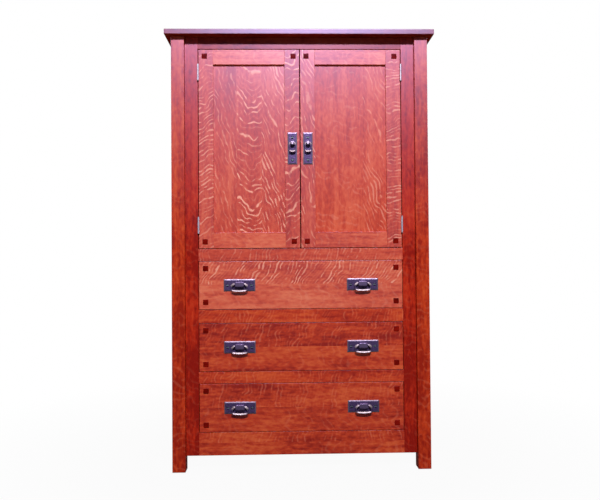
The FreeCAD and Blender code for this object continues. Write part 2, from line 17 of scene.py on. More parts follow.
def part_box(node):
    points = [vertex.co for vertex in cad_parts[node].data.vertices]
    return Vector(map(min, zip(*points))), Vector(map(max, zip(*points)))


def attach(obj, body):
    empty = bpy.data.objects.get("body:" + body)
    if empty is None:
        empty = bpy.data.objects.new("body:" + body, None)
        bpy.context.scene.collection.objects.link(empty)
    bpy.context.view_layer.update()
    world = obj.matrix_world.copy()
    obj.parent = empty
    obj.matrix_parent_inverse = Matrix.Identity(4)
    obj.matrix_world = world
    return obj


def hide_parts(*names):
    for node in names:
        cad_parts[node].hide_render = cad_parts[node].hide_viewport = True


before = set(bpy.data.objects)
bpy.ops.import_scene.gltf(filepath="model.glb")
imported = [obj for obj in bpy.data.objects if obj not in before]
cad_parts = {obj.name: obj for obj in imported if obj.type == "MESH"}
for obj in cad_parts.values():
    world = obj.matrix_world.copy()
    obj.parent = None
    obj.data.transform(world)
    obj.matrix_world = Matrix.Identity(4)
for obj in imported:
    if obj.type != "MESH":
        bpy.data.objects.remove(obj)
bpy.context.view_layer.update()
MM = 0.001

# %% [markdown]
# ## The camera
# The picture was taken from the front, a little left of the middle, with the camera at about the height of
# the desk rail. Its place, its small turns and its focal length were worked out by fitting the cabinet's
# corners, so they are written here as plain measurements. The turns are applied in the order in which a
# photographer makes them: swing to the side, tilt up, then roll.

# %% Place the camera
CAMERA_PLACE = Vector((-68.8, -2894.3, 862.8)) * MM
SWING_RIGHT, TILT_UP, ROLL = (math.radians(angle) for angle in (1.424, 1.022, 0.417))
LENS, SENSOR = 37.73, 36.0  # millimetres: the focal length and the width of the sensor

camera = bpy.data.objects.new("camera", bpy.data.cameras.new("camera"))
camera.data.lens = LENS
camera.data.sensor_width = SENSOR
level = Matrix.Rotation(math.radians(90) + TILT_UP, 4, "X")
turned = Matrix.Rotation(-SWING_RIGHT, 4, "Z") @ level @ Matrix.Rotation(-ROLL, 4, "Z")
camera.matrix_world = Matrix.Translation(CAMERA_PLACE) @ turned
bpy.context.scene.collection.objects.link(camera)
bpy.context.scene.camera = camera
print("camera", [round(c, 3) for c in camera.location], "lens", LENS)

# %% [markdown]
# ## Three small helpers
# Colours are easiest to choose as the hex values of a paint chart, but Blender's shaders add light, so they
# need linear values. Materials are trees of nodes, and one helper that adds a node, sets its properties and
# links or fills its inputs keeps each tree readable: a tree could also be drawn by hand in the shader editor,
# but a script can be repeated for every board. The third helper starts a material.

# %% Colour and node helpers
def linear(hex_colour):
    """An sRGB hex colour as linear red, green, blue and full opacity."""
    srgb = np.array([int(hex_colour[start:start + 2], 16) for start in (1, 3, 5)]) / 255
    bright = ((srgb + 0.055) / 1.055) ** 2.4
    return (*np.where(srgb <= 0.04045, srgb / 12.92, bright).tolist(), 1.0)


def add_node(tree, kind, inputs=None, **settings):
    """Adds a shader node of a kind such as "Math" and sets its properties.

    inputs gives sockets, by name or number, a plain value, an output or a whole node, which means its first
    output.
    """
    made = tree.nodes.new("ShaderNode" + kind)
    for name, value in settings.items():
        setattr(made, name, value)
    for key, value in (inputs or {}).items():
        if isinstance(value, bpy.types.Node):
            value = value.outputs[0]
        if isinstance(value, bpy.types.NodeSocket):
            tree.links.new(value, made.inputs[key])
        else:
            made.inputs[key].default_value = value
    return made


def new_material(name):
    """An empty material with its tree and its main shader."""
    material = bpy.data.materials.new(name)
    material.use_nodes = True
    return material, material.node_tree, material.node_tree.nodes["Principled BSDF"]


print("oak red is", [round(c, 3) for c in linear("#B03A28")])

# %% [markdown]
# ## The white room
# The cabinet stands in front of plain white. Only the camera sees that white all round; reflections see it
# behind the cabinet, towards +Y, because the room behind the photographer is dim. The soft light that the
# room itself gives is much weaker, so shadows stay deep. A real backdrop of paper would do the same, but it
# would have to be lit without lighting the wood.

# %% Make the world
SEEN_WHITE, AMBIENT = 1.0, 0.05
world = bpy.data.worlds.new("studio")
bpy.context.scene.world = world
bpy.context.scene.view_settings.view_transform = "Standard"
world.use_nodes = True


def view_of_room(tree, place):
    """Outputs that tell camera rays, tell mirrored rays and give the brightness of the room they see."""
    path = add_node(tree, "LightPath").outputs
    mirrored = add_node(tree, "Math", {0: path["Is Glossy Ray"], 1: path["Is Transmission Ray"]},
                        operation="MAXIMUM")
    place_y = add_node(tree, "SeparateXYZ", {0: place}).outputs["Y"]
    behind = add_node(tree, "Math", {0: place_y, 1: 0.0}, operation="GREATER_THAN")
    white = add_node(tree, "Math", {0: mirrored, 1: behind}, operation="MULTIPLY")
    white = add_node(tree, "Math", {0: path["Is Camera Ray"], 1: white}, operation="MAXIMUM")
    brightness = add_node(tree, "MapRange", {"Value": white, "To Min": AMBIENT, "To Max": SEEN_WHITE})
    return path["Is Camera Ray"], mirrored.outputs[0], brightness.outputs[0]


tree = world.node_tree
brightness = view_of_room(tree, add_node(tree, "TexCoord").outputs["Generated"])[2]
tree.nodes["Background"].inputs["Color"].default_value = linear("#FFFFFF")
tree.links.new(brightness, tree.nodes["Background"].inputs["Strength"])
print("ambient light", AMBIENT)

# %% [markdown]
# ## The floor
# The floor is a large matt sheet that fades to plain white with the distance, like a paper sweep. Near the
# feet part of its own paint is seen, so it keeps the cabinet's shadow. Reflections in the lacquer see the
# floor in front as dim as the room there, or the lower drawers would be veiled by it.

# %% Lay the floor
FLOOR_REACH = 14.0
WHITE_NEAR, WHITE_FAR = 0.95, 1.0  # how much of the floor that is seen is plain white, near and far
FADE_FROM, FADE_TO = 0.7, 2.0  # metres from the middle of the cabinet
ends = (-FLOOR_REACH, FLOOR_REACH)
floor_mesh = bpy.data.meshes.new("floor")
floor_mesh.from_pydata([(x, y, 0.0) for x in ends for y in ends], [], [(0, 2, 3, 1)])
floor = bpy.data.objects.new("floor", floor_mesh)
bpy.context.scene.collection.objects.link(floor)

# Matt paint: it gives the eye the soft shadow round the feet and no reflection.
floor_paint, tree, shader = new_material("matt pale floor")
shader.inputs["Base Color"].default_value = linear("#848484")
shader.inputs["Roughness"].default_value = 0.9
shader.inputs["Specular IOR Level"].default_value = 0.0
place = add_node(tree, "TexCoord").outputs["Object"]
reach = add_node(tree, "VectorMath", {0: place}, operation="LENGTH").outputs["Value"]
white = add_node(tree, "MapRange", {"Value": reach, "From Min": FADE_FROM, "From Max": FADE_TO,
                                    "To Min": WHITE_NEAR, "To Max": WHITE_FAR})
in_camera, mirrored, brightness = view_of_room(tree, place)
plain = add_node(tree, "Math", {0: in_camera, 1: white, 2: mirrored}, operation="MULTIPLY_ADD")
glow = add_node(tree, "Emission", {"Color": linear("#FFFFFF"), "Strength": brightness})
mixed = add_node(tree, "MixShader", {0: plain, 1: shader, 2: glow})
tree.links.new(mixed.outputs[0], tree.nodes["Material Output"].inputs["Surface"])
floor_mesh.materials.append(floor_paint)
print("floor", 2 * FLOOR_REACH, "m square")

# %% [markdown]
# ## The lamps
# One strong soft lamp hangs high in front of the cabinet, about forty degrees up. It draws the deep shadow
# under the overhanging top, and the satin lacquer scatters its reflection into a sheen that is broad on the
# upper doors and fades downwards. Weak panels behind and beside the cabinet only keep those faces readable;
# they stand behind the plane of the doors, so they leave the front alone.

# %% Hang the lamps
def hang_panel(name, place, aim, size, watts, colour):
    """A flat lamp at a place in metres, turned to an aim point."""
    lamp = bpy.data.lights.new(name, "AREA")
    lamp.shape = "RECTANGLE"
    lamp.size, lamp.size_y = size
    lamp.energy = watts
    lamp.color = linear(colour)[:3]
    hung = bpy.data.objects.new(name, lamp)
    hung.location = place
    hung.rotation_euler = (Vector(aim) - Vector(place)).to_track_quat("-Z", "Y").to_euler()
    bpy.context.scene.collection.objects.link(hung)


hang_panel("high_lamp", (0.3, -5.2, 5.25), (0.0, -0.3, 1.1), (2.2, 0.45), 535.0, "#F8F4FF")
hang_panel("back_fill", (0.6, 4.2, 3.4), (0.0, 0.3, 0.9), (3.0, 2.0), 110.0, "#FFFFFF")
hang_panel("left_fill", (-4.4, 0.4, 2.6), (0.0, 0.2, 0.9), (2.0, 2.0), 75.0, "#FFFFFF")
hang_panel("right_fill", (4.4, 0.4, 2.6), (0.0, 0.2, 0.9), (2.0, 2.0), 75.0, "#FFFFFF")

# %% [markdown]
# ## Boards glued side by side
# Oak boards are narrow, so a wide panel is glued up from several of them, and at each glue line the figure
# and the tone jump. The boards are counted across the grain from the place in the cabinet, each one takes its
# row of figure, and chance varies the row and shifts the board's noises, as if it came from another log.
# Every noise has a real size across and along the grain, so the wood stays at the right scale.

# %% Boards of a panel
GRAIN = {"upright": (0, 1, 2), "level": (2, 1, 0), "side_upright": (1, 0, 2), "side_level": (2, 0, 1),
         "top": (1, 2, 0)}  # which of X, Y and Z runs across the grain, through the board and along the grain
NOISES = {"sway": (60.0, 110.0, 1.0), "bend": (52.0, 90.0, 1.0),  # mm across, mm along, detail: flakes wander
          "breadth": (22.0, 26.0, 1.5), "patch": (85.0, 200.0, 2.0),  # where flakes swell and where they fail
          "rings": (20.0, 420.0, 3.0), "clouds": (110.0, 260.0, 3.0), "mottle": (10.0, 26.0, 3.0),  # the tone
          "pores": (2.6, 46.0, 2.0)}  # drawn about ten times too coarse, so that they show
ROW_CHANCE, LOG_SHIFT = 0.12, (3.1, 2.3, 4.7)  # how far chance moves a row, and the noises in metres


def glued_boards(tree, grain, board_width, start, figure):
    """Sockets for a panel of boards board_width mm wide, counted across the grain from start mm.

    along runs with the grain and local across one board, both in metres; number, chance and the figure close,
    lean, bow and amount are the board's own; and each noise is shifted by the board's chance.
    """
    place = add_node(tree, "TexCoord").outputs["Object"]
    xyz = add_node(tree, "SeparateXYZ", {0: place}).outputs
    inward = add_node(tree, "Math", {0: xyz[GRAIN[grain][0]], 1: start * MM}, operation="SUBTRACT")
    counted = add_node(tree, "Math", {0: inward, 1: board_width * MM}, operation="DIVIDE")
    number = add_node(tree, "Math", {0: counted}, operation="FLOOR")
    part = add_node(tree, "Math", {0: counted}, operation="FRACT")
    half = board_width / 2 * MM
    local = add_node(tree, "MapRange", {"Value": part, "To Min": -half, "To Max": half})
    log = add_node(tree, "Math", {0: number, 1: start}, operation="ADD")
    chance = add_node(tree, "TexWhiteNoise", {"W": log}, noise_dimensions="1D").outputs

    share = add_node(tree, "Math", {0: counted, 1: float(len(figure))}, operation="DIVIDE")
    row = add_node(tree, "ValToRGB", {0: share})
    row.color_ramp.interpolation = "CONSTANT"
    row.color_ramp.elements[0].color = figure[0]
    row.color_ramp.elements[1].color = figure[-1]
    for index, numbers in enumerate(figure[1:], 1):
        row.color_ramp.elements.new(index / len(figure)).color = numbers
    varied = add_node(tree, "VectorMath", {0: chance["Color"], 1: [ROW_CHANCE] * 3, 2: row},
                      operation="MULTIPLY_ADD")
    close, lean, bow = add_node(tree, "SeparateColor", {0: varied}).outputs
    boards = {"along": xyz[GRAIN[grain][2]], "local": local, "number": number, "chance": chance["Value"],
              "close": close, "lean": lean, "bow": bow, "amount": row.outputs["Alpha"]}

    moved = add_node(tree, "VectorMath", {0: chance["Color"], 1: LOG_SHIFT, 2: place},
                     operation="MULTIPLY_ADD")
    for name, (across_mm, along_mm, detail) in NOISES.items():
        scale = np.zeros(3)
        scale[list(GRAIN[grain])] = 1 / (np.array([across_mm, across_mm, along_mm]) * MM)
        stretched = add_node(tree, "VectorMath", {0: moved, 1: scale.tolist()}, operation="MULTIPLY")
        boards[name] = add_node(tree, "TexNoise", {"Vector": stretched, "Scale": 1.0, "Detail": detail})
    return boards


print(len(NOISES), "noises in every board")

# %% [markdown]
# ## Ray flakes
# Oak that is sawn towards the heart shows its rays as pale, shiny flakes that cross the grain in waves. They
# could be painted, but each board would need its own painting, so they are drawn as bands of a field that
# rises along the grain, leans and bows across the board and is bent by noise. Chance makes each band broad,
# thin or missing.

# %% Flakes as bands of a field
CLOSEST, WIDEST = 0.014, 0.060  # metres from flake to flake
BEND_BANDS = 3.4  # how many bands the bend moves the field
BAND_SEED = 57.3  # keeps the chances of one board apart from those of the next
THIN, BROAD = 0.05, 0.26  # half the breadth of a flake, in bands


def ray_flakes(tree, boards):
    """How much of a flake shows at a point, and how far the point lies from the middle of its band.

    field = along / spacing + (lean + bow local) local + BEND_BANDS bend + sway, and a band is one step of the
    field. Spacing goes from WIDEST to CLOSEST, lean is up to 75 bands to a metre and bow up to 450 to a
    square metre.
    """
    rises = {"close": (1 / WIDEST, 1 / CLOSEST), "lean": (-75.0, 75.0), "bow": (-450.0, 450.0)}
    for name, (least, most) in rises.items():
        rises[name] = add_node(tree, "MapRange", {"Value": boards[name], "From Min": ROW_CHANCE / 2,
                                                  "From Max": 1 + ROW_CHANCE / 2, "To Min": least,
                                                  "To Max": most})
    slope = add_node(tree, "Math", {0: boards["local"], 1: rises["bow"], 2: rises["lean"]},
                     operation="MULTIPLY_ADD")
    field = boards["sway"]
    terms = ((boards["along"], rises["close"]), (boards["local"], slope), (boards["bend"], BEND_BANDS))
    for way, rise in terms:
        field = add_node(tree, "Math", {0: way, 1: rise, 2: field}, operation="MULTIPLY_ADD")
    band = add_node(tree, "Math", {0: field}, operation="ROUND")
    off_middle = add_node(tree, "Math", {0: field, 1: 0.5}, operation="PINGPONG")

    seed = add_node(tree, "Math", {0: boards["number"], 1: BAND_SEED, 2: band}, operation="MULTIPLY_ADD")
    chance = add_node(tree, "TexWhiteNoise", {"W": seed}, noise_dimensions="1D").outputs["Value"]
    widest = add_node(tree, "MapRange", {"Value": chance, "From Min": 0.15, "To Min": THIN, "To Max": BROAD})
    swell = add_node(tree, "MapRange", {"Value": boards["breadth"], "From Min": 0.35, "From Max": 0.62})
    breadth = add_node(tree, "Math", {0: swell, 1: widest}, operation="MULTIPLY")
    inside = add_node(tree, "Math", {0: breadth, 1: off_middle}, operation="SUBTRACT")
    shown = add_node(tree, "MapRange", {"Value": inside, "From Min": -0.10, "From Max": 0.12},
                     interpolation_type="SMOOTHSTEP")
    solid = add_node(tree, "MapRange", {"Value": breadth, "From Max": 0.09})
    patch = add_node(tree, "MapRange", {"Value": boards["patch"], "From Min": 0.32, "From Max": 0.54,
                                        "To Min": 0.5}, interpolation_type="SMOOTHSTEP")
    for share in (solid, patch, boards["amount"]):
        shown = add_node(tree, "Math", {0: shown, 1: share}, operation="MULTIPLY")
    return shown, off_middle


print("flakes", CLOSEST / MM, "to", WIDEST / MM, "mm apart")

# %% [markdown]
# ## Stain and lacquer
# Aniline stain turns the oak red-brown, fills the pores dark and leaves the flakes lighter, and a satin
# lacquer lies over every side but the undersides. The tone comes from growth rings, broad clouds and a fine
# mottle, and it is a little deeper between flakes. The lacquer's reflection is broad, and pale lilac on the
# red wood, which the tint of the shader gives while the lamp stays white. Posts and stiles are darker towards
# the floor, which is painted shade, and their lacquer is worn dull there.

# %% Stained oak
def stain_of(*colours):
    """A stain from the hex colours of dark, middle and light wood, of its flakes and of its pores."""
    return dict(zip(("dark", "middle", "light", "flake", "pore"), colours))


STAIN = stain_of("#901E06", "#BA3A14", "#D05828", "#E48462", "#5E0E04")
TONE_SHARES, TONE_DARK, TONE_LIGHT = {"mottle": 0.95, "rings": 0.8}, 1.06, 1.66  # beside one share of clouds
BOARD_STEP, BETWEEN_DEEPER, PORE_SHARE = 0.05, 0.13, 0.26
LACQUER_ROUGH, FLAKE_ROUGH, PORE_DULLER = 0.35, 0.31, 0.25
LACQUER_IOR, LACQUER_TINT, COAT_SHARE = 1.7, "#CECAFF", 0.15
# Painted shade on upright boards fades out from the floor up to the second of these heights.
WORN_BELOW, UNSHADED_GLOSSY_ABOVE = 900.0, 1750.0  # heights between which a worn upright board gets its shine back


def stained_oak(name, grain, board_width, start, figure, colours=STAIN, gloss=1.0, dulled=0.0, shade_at_floor=0.0):
    """Lacquered oak of boards board_width mm wide across the grain, counted from start mm.

    figure has a row for each board, of numbers from 0 to 1: how close the flakes lie, how far they lean (0.5
    is straight across the grain), how they bow (0.5 is straight) and how much of them shows. An upright board
    may be worn: dulled is the share of its gloss that is lost low down. The last argument is painted shade:
    how much darker the tone is made at the floor, fading out upwards.
    """
    material, tree, shader = new_material(name)
    boards = glued_boards(tree, grain, board_width, start, figure)
    flake, off_middle = ray_flakes(tree, boards)

    between = add_node(tree, "MapRange", {"Value": off_middle, "From Min": 0.28, "From Max": 0.5,
                                          "To Max": BETWEEN_DEEPER})
    between = add_node(tree, "Math", {0: between, 1: boards["amount"]}, operation="MULTIPLY")
    step = add_node(tree, "MapRange", {"Value": boards["chance"], "To Min": -BOARD_STEP,
                                       "To Max": BOARD_STEP})
    tone = boards["clouds"]
    for noise, share in TONE_SHARES.items():
        tone = add_node(tree, "Math", {0: boards[noise], 1: share, 2: tone}, operation="MULTIPLY_ADD")
    tone = add_node(tree, "Math", {0: tone, 1: step}, operation="ADD")
    tone = add_node(tree, "Math", {0: tone, 1: between}, operation="SUBTRACT")
    # Painted shade: the tone is made darker towards the floor, most at the floor itself.
    sunk = add_node(tree, "MapRange", {"Value": boards["along"], "From Max": UNSHADED_GLOSSY_ABOVE * MM,
                                       "To Min": shade_at_floor, "To Max": 0.0})
    tone = add_node(tree, "Math", {0: tone, 1: sunk}, operation="SUBTRACT")
    tone = add_node(tree, "MapRange", {"Value": tone, "From Min": TONE_DARK, "From Max": TONE_LIGHT})
    stain = add_node(tree, "ValToRGB", {0: tone})
    stain.color_ramp.elements[0].color = linear(colours["dark"])
    stain.color_ramp.elements[1].color = linear(colours["light"])
    stain.color_ramp.elements.new(0.5).color = linear(colours["middle"])
    pore = add_node(tree, "MapRange", {"Value": boards["pores"], "From Min": 0.58, "From Max": 0.76,
                                       "To Max": PORE_SHARE})
    pored = add_node(tree, "Mix", {0: pore, 6: stain, 7: linear(colours["pore"])}, data_type="RGBA")
    flaked = add_node(tree, "Mix", {0: flake, 6: pored.outputs[2], 7: linear(colours["flake"])},
                      data_type="RGBA")
    tree.links.new(flaked.outputs[2], shader.inputs["Base Color"])

    # Flakes polish up smoother than the wood round them, and open pores are duller.
    polish = add_node(tree, "MapRange", {"Value": flake, "To Min": LACQUER_ROUGH, "To Max": FLAKE_ROUGH})
    rough = add_node(tree, "Math", {0: pore, 1: PORE_DULLER, 2: polish}, operation="MULTIPLY_ADD")
    tree.links.new(rough.outputs[0], shader.inputs["Roughness"])
    relief = add_node(tree, "Math", {0: flake, 1: pore}, operation="SUBTRACT")
    bump = add_node(tree, "Bump", {"Strength": 0.3, "Distance": 0.25 * MM, "Height": relief})
    tree.links.new(bump.outputs[0], shader.inputs["Normal"])

    # Undersides get no lacquer, so they stay dull and dark, and worn boards have lost some of it low down.
    normal = add_node(tree, "NewGeometry").outputs["True Normal"]
    facing = add_node(tree, "SeparateXYZ", {0: normal}).outputs["Z"]
    sprayed = add_node(tree, "MapRange", {"Value": facing, "From Min": -0.9, "From Max": -0.6})
    kept = add_node(tree, "MapRange", {"Value": boards["along"], "From Min": WORN_BELOW * MM,
                                       "From Max": UNSHADED_GLOSSY_ABOVE * MM, "To Min": gloss * (1 - dulled),
                                       "To Max": gloss})
    shine = add_node(tree, "Math", {0: sprayed, 1: kept}, operation="MULTIPLY")
    tree.links.new(shine.outputs[0], shader.inputs["Specular IOR Level"])
    coat = add_node(tree, "Math", {0: shine, 1: COAT_SHARE}, operation="MULTIPLY")
    tree.links.new(coat.outputs[0], shader.inputs["Coat Weight"])
    shader.inputs["IOR"].default_value = LACQUER_IOR
    shader.inputs["Specular Tint"].default_value = linear(LACQUER_TINT)
    shader.inputs["Coat Roughness"].default_value = LACQUER_ROUGH
    return material


print("stain", STAIN["middle"], "with flakes", STAIN["flake"])

# %% [markdown]
# ## Oak on every outer board
# The maker chose boards with the finest figure for the doors and drawer fronts and plain ones for the frame.
# Each row of figure below is one kind of board, and the panels name their boards in order from the left or
# from below. The stain also took differently: lighter on doors and drawers, darker on the posts and rails and
# darkest on the top. The face stiles are coloured darker than the posts.

# %% Kinds of board and stain
FAINT, GARLANDS, STEEP = (0.35, 0.55, 0.45, 0.15), (0.30, 0.62, 0.18, 0.95), (0.12, 0.90, 0.50, 0.8)
SLANTED, COMBED, SPECKLED = (0.72, 0.28, 0.50, 0.7), (0.95, 0.52, 0.50, 0.6), (1.00, 0.38, 0.40, 0.30)
SLOPING, SOFT_STEEP = (0.92, 0.22, 0.68, 0.85), (0.12, 0.90, 0.50, 0.40)
LIGHT_STAIN = stain_of("#AC320E", "#C6441C", "#D85E34", "#FAAE8E", "#80200E")
PALE_STAIN = stain_of("#B83814", "#D6582E", "#E47448", "#F6A888", "#862210")
DARK_STAIN = stain_of("#7A1606", "#98280E", "#A83A1C", "#C06246", "#480903")
POST_STAIN = stain_of("#941E04", "#BA3810", "#CE5220", "#E07C56", "#580C02")
# The face stiles are coloured darker than the posts.
STILE_COLOURS = stain_of("#8A1606", "#B22A0E", "#C23C1A", "#C05E42", "#400602")
TOP_STAIN = stain_of("#5A1006", "#761C0C", "#882C18", "#A85A44", "#380602")
print("8 kinds of board and 7 stains")

# %% [markdown]
# ## The frame, the doors and the drawers
# A CAD node keeps its shape and only gets a new material. The boards of a front are counted from its own
# lower or left edge, so a glue line falls where it does on the real piece, for example at each third of a
# door panel. A post or a stile is a single board, so a whole number of boards is counted from the left one to
# the right one.

# %% Dress the outer boards
def dress(material, *names):
    """Gives CAD nodes a material in place of the plain one that they came with."""
    for name in names:
        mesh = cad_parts[name].data
        mesh.materials.clear()
        mesh.materials.append(material)


# The frame is plain and deep red, with a lilac sheen that is left only near the top.
POST_BOARD, STILE_BOARD = 1013.0 / 18, 905.0 / 16  # the way from left to right over the boards in it
# Posts and stiles carry painted shade that darkens them towards the floor.
posts = stained_oak("stained oak, posts", "upright", POST_BOARD, -533.5, [FAINT], POST_STAIN,
                    gloss=1.15, dulled=0.85, shade_at_floor=0.24)
face_stiles = stained_oak("stained oak, face stiles", "upright", STILE_BOARD, -480.24, [FAINT], STILE_COLOURS,
                          gloss=1.05, dulled=0.88, shade_at_floor=0.35)
top_rail = stained_oak("stained oak, top rail", "level", 60.0, 1740.0, [FAINT], DARK_STAIN, 0.6)
base_rail = stained_oak("stained oak, base rail", "level", 52.0, 63.0, [FAINT, SPECKLED], gloss=0.4)
rails = stained_oak("stained oak, drawer rails", "level", 60.0, 0.0, [SPECKLED], POST_STAIN, 0.4)
# Doors show the boldest figure, pale garlands and slanting strokes, under a sheen that fades downwards.
door_stiles = stained_oak("stained oak, door stiles", "upright", 211.25, -422.5,
                          [SLANTED, GARLANDS, STEEP, COMBED], LIGHT_STAIN)
door_rails = stained_oak("stained oak, door rails", "level", 120.0, 900.0, [FAINT], PALE_STAIN, 0.9)
desk_rail = stained_oak("stained oak, desk rail", "level", 60.0, 860.0, [SPECKLED], LIGHT_STAIN, 0.8)
PANEL_BOARD = 104.0
left_panel = stained_oak("stained oak, left panel", "upright", PANEL_BOARD, -368.8,
                         [SOFT_STEEP, GARLANDS, STEEP], LIGHT_STAIN, gloss=1.1, dulled=0.3)
right_panel = stained_oak("stained oak, right panel", "upright", PANEL_BOARD, 56.0,
                          [FAINT, FAINT, SOFT_STEEP], LIGHT_STAIN, gloss=0.88, dulled=0.4)
# Each drawer front is a plain board below and a figured one above, and the upper drawer is the lightest.
lower_front = stained_oak("stained oak, lower drawer", "level", 100.0, 159.0, [FAINT, SPECKLED], gloss=0.45)
middle_front = stained_oak("stained oak, middle drawer", "level", 100.0, 409.0, [FAINT, SPECKLED], gloss=0.45)
upper_front = stained_oak("stained oak, upper drawer", "level", 110.0, 659.0, [FAINT, SLOPING], PALE_STAIN)
# The sides are figured like the doors, under a duller lacquer.
side_panels = stained_oak("stained oak, side panels", "side_upright", 118.0, -240.0,
                          [FAINT, GARLANDS, STEEP, SPECKLED], gloss=0.4)
side_rails = stained_oak("stained oak, side rails", "side_level", 130.0, 0.0, [SPECKLED], gloss=0.4)
# The top is the darkest and shiniest board, so its front edge is a pale lilac line in the studio light.
top_oak = stained_oak("stained oak, top", "top", 127.0, -317.5, [FAINT, SPECKLED], TOP_STAIN, 1.2)

dress(posts, "front_left_post", "front_right_post", "rear_left_post", "rear_right_post")
dress(face_stiles, "face_stiles")
dress(top_rail, "top_face_rail")
dress(rails, "drawer_rails")
dress(base_rail, "base_face_rail")
dress(door_stiles, "left_door_stiles", "right_door_stiles")
dress(door_rails, "left_door_rails", "right_door_rails")
dress(desk_rail, "desk_face_rail")
dress(left_panel, "left_door_panel")
dress(right_panel, "right_door_panel")
dress(lower_front, "lower_drawer_front")
dress(middle_front, "middle_drawer_front")
dress(upper_front, "upper_drawer_front")
dress(side_panels, "left_side_panels", "right_side_panels")
dress(side_rails, "left_side_rails", "right_side_rails")
dress(top_oak, "top_board")
print(len(bpy.data.materials), "materials so far")

# %% [markdown]
# ## Wood that is not seen with the doors shut
# Inside, the shelf, the back and the runners are the same oak with only a thin coat of clear finish, and the
# drawer boxes are pale maple, a hard plain wood that slides well. Both are drawn by the same function with
# their own colours and with few flakes or none.

# %% Inner oak and maple
CLEAR_OAK = stain_of("#8C5A34", "#A87246", "#BC8A5C", "#CFA57A", "#6A3F22")
PLAIN = (0.5, 0.5, 0.5, 0.0)  # a board without flakes
MAPLE = stain_of("#CBA678", "#D9B98C", "#E3C79D", "#E9D2AC", "#B48A5A")
# Clear oak looks honey brown with darker pores, and maple is pale cream with hardly any grain.
inner_level = stained_oak("clear oak, shelf and floor", "top", 105.0, -252.5, [FAINT], CLEAR_OAK, 0.5)
inner_back = stained_oak("clear oak veneer, back", "upright", 240.0, -480.0, [FAINT], CLEAR_OAK, 0.4)
inner_runner = stained_oak("clear oak, runners", "side_level", 70.0, 0.0, [FAINT], CLEAR_OAK, 0.4)
inner_rail = stained_oak("clear oak, back rails", "level", 70.0, 0.0, [FAINT], CLEAR_OAK, 0.4)
maple_side = stained_oak("maple, drawer sides", "side_level", 190.0, 0.0, [PLAIN], MAPLE, 0.5)
maple_bottom = stained_oak("maple ply, drawer bottoms", "top", 900.0, -500.0, [PLAIN], MAPLE, 0.4)

dress(inner_level, "cabinet_floor", "cabinet_shelf", "floor_cleats")
dress(inner_back, "back_panel")
dress(inner_runner, "drawer_runners", "drawer_guides")
dress(inner_rail, "back_rails")
DRAWERS = ("lower", "middle", "upper")
dress(maple_side, *(f"{drawer}_drawer_box" for drawer in DRAWERS))
dress(maple_bottom, *(f"{drawer}_drawer_bottom" for drawer in DRAWERS))
print("inner oak and maple on", 6 + 2 * len(DRAWERS), "nodes")

# %% [markdown]
# ## Metal and plastic
# The pulls are cast and hammered bronze with a dark violet-brown patina. Where edges are filed and hands rub,
# the patina is gone and the bare metal shines, so a number that is kept with each point, called rubbed, mixes
# the two. The screws in the pulls are blackened steel whose near-black is partly painted shade, hinges and
# shelf pins are bright nickel-plated steel with a faint brushed run, and the door catches are plain dark
# brown plastic.

# %% Metal and plastic finishes
ROUGH_SPREAD, PATINA_METALLIC = 0.16, 0.7  # roughness from dull to worn spots; patina is partly metal


def metal(name, dark, bright, bare, rough, bare_rough, spot, stretch=(1.0, 1.0, 1.0)):
    """A metal in spots of the given size in millimetres, and bare where a point's number rubbed is 1."""
    material, tree, shader = new_material(name)
    rubbed = add_node(tree, "Attribute", attribute_name="rubbed").outputs["Fac"]
    place = add_node(tree, "TexCoord").outputs["Object"]
    scale = [share / (spot * MM) for share in stretch]
    spots = add_node(tree, "VectorMath", {0: place, 1: scale}, operation="MULTIPLY")
    spots = add_node(tree, "TexNoise", {"Vector": spots, "Scale": 1.0, "Detail": 3.0})
    worn = add_node(tree, "MapRange", {"Value": spots, "From Min": 0.35, "From Max": 0.65})
    patina = add_node(tree, "Mix", {0: worn, 6: linear(dark), 7: linear(bright)}, data_type="RGBA").outputs[2]
    colour = add_node(tree, "Mix", {0: rubbed, 6: patina, 7: linear(bare)}, data_type="RGBA")
    tree.links.new(colour.outputs[2], shader.inputs["Base Color"])
    dull = add_node(tree, "MapRange", {"Value": rubbed, "To Min": rough + ROUGH_SPREAD / 2,
                                       "To Max": bare_rough + ROUGH_SPREAD / 2})
    polish = add_node(tree, "Math", {0: worn, 1: -ROUGH_SPREAD, 2: dull}, operation="MULTIPLY_ADD")
    tree.links.new(polish.outputs[0], shader.inputs["Roughness"])
    bump = add_node(tree, "Bump", {"Strength": 0.25, "Distance": 0.1 * MM, "Height": worn})
    tree.links.new(bump.outputs[0], shader.inputs["Normal"])
    bare_metal = add_node(tree, "MapRange", {"Value": rubbed, "To Min": PATINA_METALLIC})
    tree.links.new(bare_metal.outputs[0], shader.inputs["Metallic"])
    return material


# The patina makes the plates the darkest spots on the front; filed edges and grips are pale pinkish grey.
bronze = metal("hammered dark bronze", "#4E3E68", "#705C8E", "#AEA0A4", 0.42, 0.55, 5.0)
# The screws are blackened, so they are darker than the plates, with bare metal in their slots, and part of
# their near-black is painted shade.
blackened_and_shaded_steel = metal("blackened steel screws with painted shade", "#221C30", "#342C44", "#8E98A2", 0.45, 0.55, 3.0)
# Nickel is nearly white, so that the hinge barrels show as thin light lines beside the doors.
nickel = metal("nickel-plated steel", "#C0BACB", "#E6E2EE", "#DDD9E4", 0.46, 0.30, 3.0, (1.0, 1.0, 0.1))

# Moulded plastic: an even, half-dull brown that is lost in the shadow behind the doors.
catch_plastic, tree, shader = new_material("dark brown plastic")
shader.inputs["Base Color"].default_value = linear("#3A2A22")
place = add_node(tree, "TexCoord").outputs["Object"]
grit = add_node(tree, "TexNoise", {"Vector": place, "Scale": 1 / (1.5 * MM), "Detail": 2.0})
rough = add_node(tree, "MapRange", {"Value": grit, "To Min": 0.40, "To Max": 0.60})
tree.links.new(rough.outputs[0], shader.inputs["Roughness"])

